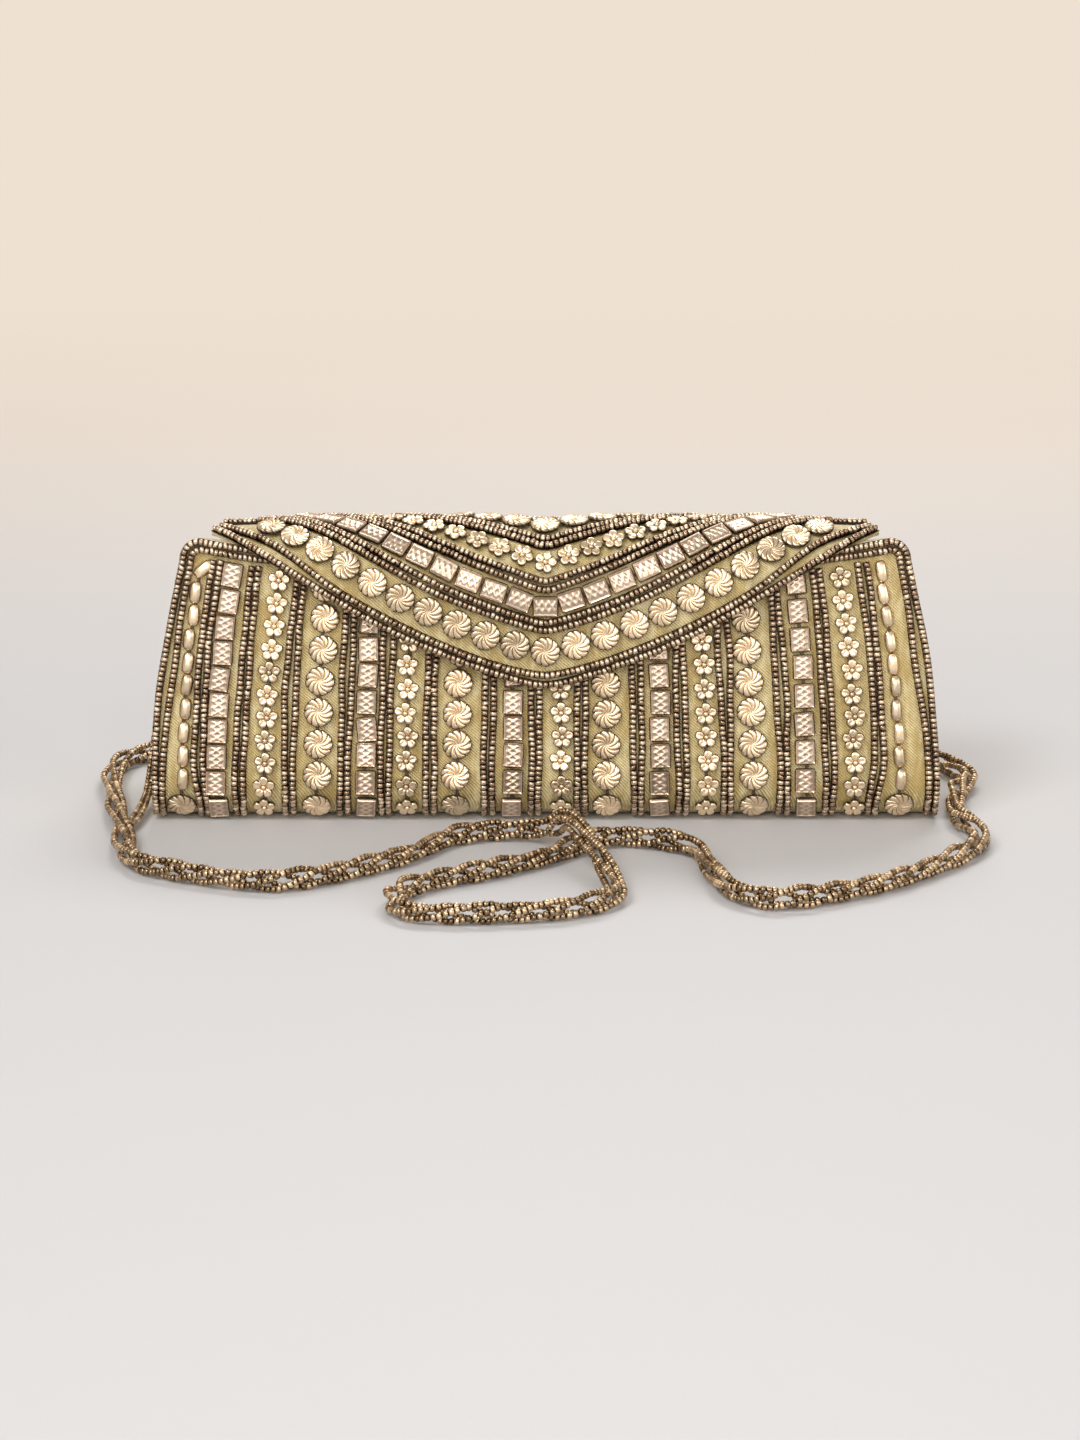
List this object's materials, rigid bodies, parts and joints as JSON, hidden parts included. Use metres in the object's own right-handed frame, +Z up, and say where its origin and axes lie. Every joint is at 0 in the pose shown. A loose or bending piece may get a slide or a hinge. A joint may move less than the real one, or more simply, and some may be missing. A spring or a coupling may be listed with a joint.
{
  "type": "clutch bag",
  "caption": "Stiff box clutch covered in columns of strung metal ornaments and seed beads, with a hinged V flap and a twisted bead strap.",
  "frame": {"origin": "middle of the bag's flat base, on the surface that it stands on", "axes": "+X to the right along the bag's length seen from the front, +Y to the back, +Z up"},
  "size_m": [0.3081, 0.1915, 0.1016],
  "materials": {
    "satin": "olive-gold satin",
    "lining": "matt",
    "piping": "matt",
    "gold": "champagne gold, polished",
    "rose_gold": "rose gold, satin",
    "seed": "antique bronze beads",
    "strap_beads": "antique gold beads",
    "steel": "plain"
  },
  "bodies": {
    "body": {"back_panel": "satin", "base_panel": "satin", "column_01_oval": "gold", "column_02_square": "rose_gold", "column_03_flower": "gold", "column_04_disc": "gold", "column_05_square": "rose_gold", "column_06_flower": "gold", "column_07_disc": "gold", "column_08_square": "rose_gold", "column_09_flower": "gold", "column_10_disc": "gold", "column_11_square": "rose_gold", "column_12_flower": "gold", "column_13_disc": "gold", "column_14_square": "rose_gold", "column_15_flower": "gold", "column_16_oval": "gold", "edge_strings_left": "seed", "edge_strings_right": "seed", "end_panel_left": "satin", "end_panel_right": "satin", "front_magnet": "steel", "front_panel": "satin", "lining": "lining", "mouth_piping": "piping", "mouth_strings": "seed", "seed_pair_01": "seed", "seed_pair_02": "seed", "seed_pair_03": "seed", "seed_pair_04": "seed", "seed_pair_05": "seed", "seed_pair_06": "seed", "seed_pair_07": "seed", "seed_pair_08": "seed", "seed_pair_09": "seed", "seed_pair_10": "seed", "seed_pair_11": "seed", "seed_pair_12": "seed", "seed_pair_13": "seed", "seed_pair_14": "seed", "seed_pair_15": "seed", "strap": "strap_beads", "strap_loose_strands": "strap_beads", "strap_tab_left": "satin", "strap_tab_right": "satin"},
    "flap": {"flap_disc_row": "gold", "flap_edge_string": "seed", "flap_flower_row": "gold", "flap_lining": "lining", "flap_magnet": "steel", "flap_pair_inner": "seed", "flap_pair_middle": "seed", "flap_pair_outer": "seed", "flap_ridge_strings": "seed", "flap_second_string": "seed", "flap_shell": "satin", "flap_square_row": "rose_gold", "flap_top_discs": "gold"}
  },
  "joints": [
    {"name": "flap_hinge", "type": "hinge", "parent": "body", "child": "flap", "pos_m": [0, 0.01875, 0.089], "axis": [-1, 0, 0], "range_deg": [0, 140]}
  ]
}
